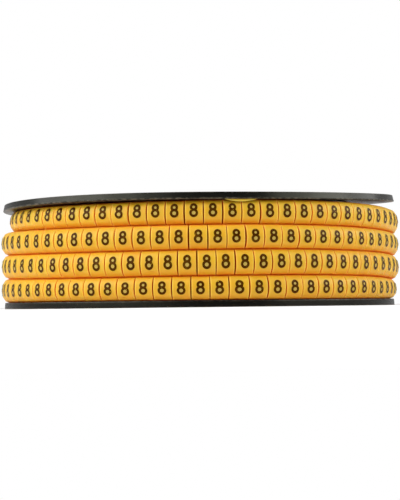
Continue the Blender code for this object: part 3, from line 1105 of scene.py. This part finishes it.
def moulded(name, outline, rib, windows):
    """A turned half with its ribs joined on, its windows cut and every sharp edge softened."""
    half = mesh_object(name, turned(outline))
    for helper, operation in ((rib, "UNION"), (windows, "DIFFERENCE")):
        modifier = half.modifiers.new(operation, "BOOLEAN")
        modifier.operation = operation
        modifier.solver = "EXACT"
        modifier.object = helper
    softened = half.modifiers.new("edges", "BEVEL")
    softened.width = SOFT_EDGE
    softened.segments = 2
    softened.angle_limit = math.radians(50.0)
    settle(half)
    half.data.shade_smooth()
    half.data.set_sharp_from_angle(angle=math.radians(40.0))
    half.data.materials.clear()
    half.data.materials.append(finishes["reel"])
    for helper in (rib, windows):
        bpy.data.objects.remove(helper, do_unlink=True)
    return half


# %% Worn rims
OUTER_WEAR = 0.3
LOWER_WEAR = 0.25
UPPER_WEAR = 0.8
JUST_PAST = 1.01


def mark_wear(half, strip_side, worn):
    """Marks the rim's worn edges before the half is tilted, the one beside the strip this much."""
    rim_from = FLANGE_RADIUS - max(UPPER_DRAFT) - RIM_CORNER - 0.5 * WORN_WIDTH
    wear = []
    for vertex in half.data.vertices:
        from_strip = abs(vertex.co.z - strip_side)
        if math.hypot(vertex.co.x, vertex.co.y) <= rim_from:
            wear.append(0.0)
        elif from_strip < JUST_PAST * RIM_EDGE:
            wear.append(worn)
        elif from_strip > FLANGE_THICKNESS - JUST_PAST * RIM_CORNER:
            wear.append(OUTER_WEAR)
        else:
            wear.append(0.0)
    mark_points(half, "wear", wear)


# %% Lower half
WINDOW_SPAN = (-FLANGE_THICKNESS, 2.0 * FLANGE_THICKNESS)


def make_lower_half():
    """The flange that lies on the bench, with the drum wall and the hub tube standing on it."""
    outline = [(BORE_RADIUS, 0.0)] + rim_outline(LOWER_DRAFT)
    outline += [
        (DRUM_RADIUS, FLANGE_THICKNESS),
        (DRUM_RADIUS, DRUM_TOP),
        (DRUM_INSIDE, DRUM_TOP),
        (DRUM_INSIDE, FLANGE_THICKNESS),
        (HUB_RADIUS, FLANGE_THICKNESS),
        (HUB_RADIUS, HUB_TOP),
        (BORE_RADIUS, HUB_TOP),
    ]
    ribs = rib_block(
        (BORE_RADIUS + HUB_RADIUS) / 2.0,
        (DRUM_INSIDE + DRUM_RADIUS) / 2.0,
        FLANGE_THICKNESS / 2.0,
        FLANGE_THICKNESS + RIB_HEIGHT,
    )
    half = moulded("reel_lower_half", outline, ribs, window_cutter(*WINDOW_SPAN))
    mark_wear(half, FLANGE_THICKNESS, LOWER_WEAR)
    half.data.transform(Matrix.Translation((-LOWER_SHIFT, 0.0, 0.0)))
    return half


lower_half = make_lower_half()
print(lower_half.name, len(lower_half.data.polygons), "faces")


# %% Upper half
def make_upper_half():
    """The other flange, with a spigot for the drum and a collar for the hub, sprung and tilted."""
    outline = [
        (BORE_RADIUS, FLANGE_THICKNESS),
        (BORE_RADIUS, 0.0),
        (COLLAR_INSIDE, 0.0),
        (COLLAR_INSIDE, -SPIGOT_LENGTH),
        (COLLAR_INSIDE + SPIGOT_WALL, -SPIGOT_LENGTH),
        (COLLAR_INSIDE + SPIGOT_WALL, 0.0),
        (SPIGOT_OUTSIDE - SPIGOT_WALL, 0.0),
        (SPIGOT_OUTSIDE - SPIGOT_WALL, -SPIGOT_LENGTH),
        (SPIGOT_OUTSIDE, -SPIGOT_LENGTH),
        (SPIGOT_OUTSIDE, 0.0),
        (DRUM_RADIUS, 0.0),
    ]
    rim = reversed(rim_outline(UPPER_DRAFT))
    outline += [(radius, FLANGE_THICKNESS - height) for radius, height in rim]
    ribs = rib_block(
        COLLAR_INSIDE + SPIGOT_WALL / 2.0,
        SPIGOT_OUTSIDE - SPIGOT_WALL / 2.0,
        -RIB_HEIGHT,
        FLANGE_THICKNESS / 2.0,
    )
    half = moulded("reel_upper_half", outline, ribs, window_cutter(*WINDOW_SPAN))
    mark_wear(half, 0.0, UPPER_WEAR)
    for vertex in half.data.vertices:
        angle = math.degrees(math.atan2(vertex.co.x, -vertex.co.y))
        vertex.co.z += rim_warp(math.hypot(vertex.co.x, vertex.co.y), angle)
    uphill = direction(TILT_TOWARDS)
    tilt = Matrix.Rotation(math.radians(TILT), 4, uphill.cross(Vector((0.0, 0.0, 1.0))))
    half.data.transform(Matrix.Translation((-UPPER_SHIFT, 0.0, UPPER_HEIGHT)) @ tilt)
    return half


upper_half = make_upper_half()
print(upper_half.name, len(upper_half.data.polygons), "faces")
for piece, node in ((lower_half, "lower_half"), (upper_half, "upper_half")):
    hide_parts(node)
    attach(piece, "root")

# %% [markdown]
# ## A shred of PVC
#
# A little right of the front, the over-full top row has squeezed out a thin shred, which hangs below
# the upper rim. Its pale look is a painted highlight along its lower edge, with painted shade at its
# top under the rim. Sculpting would do for such a thing, but a few thin sections along the rim are
# quicker: each has four points, and the shred hangs lowest in its middle and runs out to both ends.

# %% A burr of the strip under the upper rim
BURR_MIDDLE = 11.0
BURR_REACH = 4.3
BURR_DEPTH = 0.7 * MM
BURR_END = 0.05 * MM
BURR_THICKNESS = 0.12 * MM
BURR_SET_BACK = 0.25 * MM
BURR_STEPS = 12
# Painted shade at the top of each section, under the rim, and a painted highlight on its bulge and
# lower edge.
BURR_SHADE = (0.3, 0.1, 0.0, 0.0)
BURR_HIGHLIGHTS = (0.0, 0.5, 1.0, 1.0)


def make_burr():
    """A thin shred of PVC, squeezed out between the rim and the top row."""
    bm = bmesh.new()
    rings = []
    for step in range(BURR_STEPS + 1):
        share = 2.0 * step / BURR_STEPS - 1.0
        angle = BURR_MIDDLE + BURR_REACH * share
        top = underside_height(FLANGE_RADIUS, angle)
        low = top - BURR_END - BURR_DEPTH * (1.0 - share * share)
        bulge = (BURR_THICKNESS, (top + low) / 2.0)
        ring = []
        for radius, height in ((0.0, top), bulge, (0.0, low), (-BURR_THICKNESS, low)):
            point = direction(angle) * (FLANGE_RADIUS - BURR_SET_BACK + radius)
            point.z = height
            ring.append(bm.verts.new(point))
        rings.append(ring)
    for near, far in zip(rings, rings[1:]):
        join_rings(bm, near, far)
    for ring in (rings[0], rings[-1]):
        bm.faces.new(ring)
    made = mesh_object("strip_burr", bm, sharp_angle=60.0)
    mark_points(made, "depth", BURR_SHADE * len(rings))
    mark_points(made, "edge_highlight", BURR_HIGHLIGHTS * len(rings))
    made.data.materials.append(finishes["markers"])
    return made


burr = make_burr()
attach(burr, "root")
print(burr.name, len(burr.data.polygons), "faces")

# %% [markdown]
# ## Floor, light and camera
#
# The photograph is a plain studio picture: everything around the roll is white, and the camera looks
# at it level with the floor. The black rims show where the light is, because they mirror it: their
# middle is black, so nothing bright stands beside the camera, and they are grey on both sides. One
# large lamp on each side could do that, but a bank of smaller ones lets the light fall off towards the
# front as it does there. The shade under the upper flange asks for three more, high up. The
# surroundings are white to the eye. As a light they are weaker, and dark where the camera stands.

# %% Floor
FLOOR_SIZE = 3.0


def make_floor():
    """A plain pale floor, with no gloss that could mirror the lamps."""
    bm = bmesh.new()
    bmesh.ops.create_grid(bm, x_segments=1, y_segments=1, size=FLOOR_SIZE / 2.0)
    floor = mesh_object("studio_floor", bm)
    material, _, shader = new_finish("pale_floor")
    plug(shader, "Base Color", (0.97, 0.97, 0.97, 1.0))
    plug(shader, "Roughness", 0.8)
    plug(shader, "Specular IOR Level", 0.0)
    floor.data.materials.append(material)
    print("floor", FLOOR_SIZE, "m wide")


make_floor()


# %% White surroundings
# The dark place's middle, as an angle round the roll and one up, and the angles where it fades out.
ROUND_LIGHT = 0.37
DARK_TOWARDS = (13.0, 20.0)
DARK_REACH = (18.0, 38.0)


def raised_direction(angle, height):
    """Unit vector from the axis at this angle round it and this many degrees up."""
    up = math.radians(height)
    return direction(angle) * math.cos(up) + Vector((0.0, 0.0, math.sin(up)))


def studio_world():
    """White all round to the eye, and a weaker light with a dark place in front."""
    world = bpy.data.worlds.new("studio")
    bpy.context.scene.world = world
    world.use_nodes = True
    start = Wire(world.node_tree)
    towards = start.node("ShaderNodeTexCoord").out("Generated")
    frontal = towards.vector_math("DOT_PRODUCT", raised_direction(*DARK_TOWARDS), output="Value")
    inner, outer = (math.cos(math.radians(reach)) for reach in DARK_REACH)
    strength = ramped(start, frontal, outer, inner) * -ROUND_LIGHT + ROUND_LIGHT
    seen = start.node("ShaderNodeLightPath").out("Is Camera Ray")
    background = world.node_tree.nodes["Background"]
    background.inputs["Color"].default_value = (1.0, 1.0, 1.0, 1.0)
    plug(background, "Strength", seen * (1.0 - strength) + strength)


studio_world()
print("surroundings light the roll with a strength of", ROUND_LIGHT)


# %% Soft lamps
# Each lamp's angle round the roll, angle up, width in metres and power.
LAMP_DISTANCE = 1.0
LAMPS = {
    "left_back": (-96.0, 25.0, 0.42, 1.4),
    "left_side": (-72.0, 25.0, 0.42, 2.1),
    "left_front": (-50.0, 25.0, 0.42, 1.35),
    "left_near": (-30.0, 25.0, 0.42, 0.55),
    "left_high": (-60.0, 55.0, 0.5, 2.6),
    "high": (0.0, 55.0, 0.5, 1.2),
    "right_high": (60.0, 55.0, 0.5, 0.5),
    "right_front": (58.0, 25.0, 0.42, 1.3),
    "right_side": (84.0, 25.0, 0.42, 2.5),
    "right_back": (112.0, 25.0, 0.42, 1.2),
}


def soft_lamp(name, angle, height, size, power):
    """A square lamp that looks at the middle of the roll, from this angle round it and this far up."""
    lamp = bpy.data.lights.new(name, "AREA")
    lamp.size = size
    lamp.energy = power
    made = bpy.data.objects.new(name, lamp)
    bpy.context.scene.collection.objects.link(made)
    made.location = LAMP_DISTANCE * raised_direction(angle, height)
    towards = Vector((0.0, 0.0, DRUM_TOP / 2.0)) - made.location
    made.rotation_euler = towards.to_track_quat("-Z", "Y").to_euler()


for lamp_name, lamp_values in LAMPS.items():
    soft_lamp(lamp_name, *lamp_values)
print(len(LAMPS), "lamps")

# %% Camera
CAMERA_DISTANCE = 0.5096
CAMERA_HEIGHT = 0.0004
LENS = 113.5
PITCH = 2.031
ROLL = -0.65


def make_camera():
    """A long lens in front of the roll, just above the floor, tipped up and turned a little."""
    camera = bpy.data.cameras.new("camera")
    camera.lens = LENS
    camera.clip_start = 0.01
    made = bpy.data.objects.new("camera", camera)
    bpy.context.scene.collection.objects.link(made)
    made.location = (0.0, -CAMERA_DISTANCE, CAMERA_HEIGHT)
    upright = Matrix.Rotation(math.radians(90.0 + PITCH), 4, "X")
    made.rotation_euler = (upright @ Matrix.Rotation(math.radians(ROLL), 4, "Z")).to_euler()
    bpy.context.scene.camera = made
    print("camera", CAMERA_DISTANCE, "m in front of the reel's axis")


make_camera()
bpy.context.scene.view_settings.view_transform = "Standard"
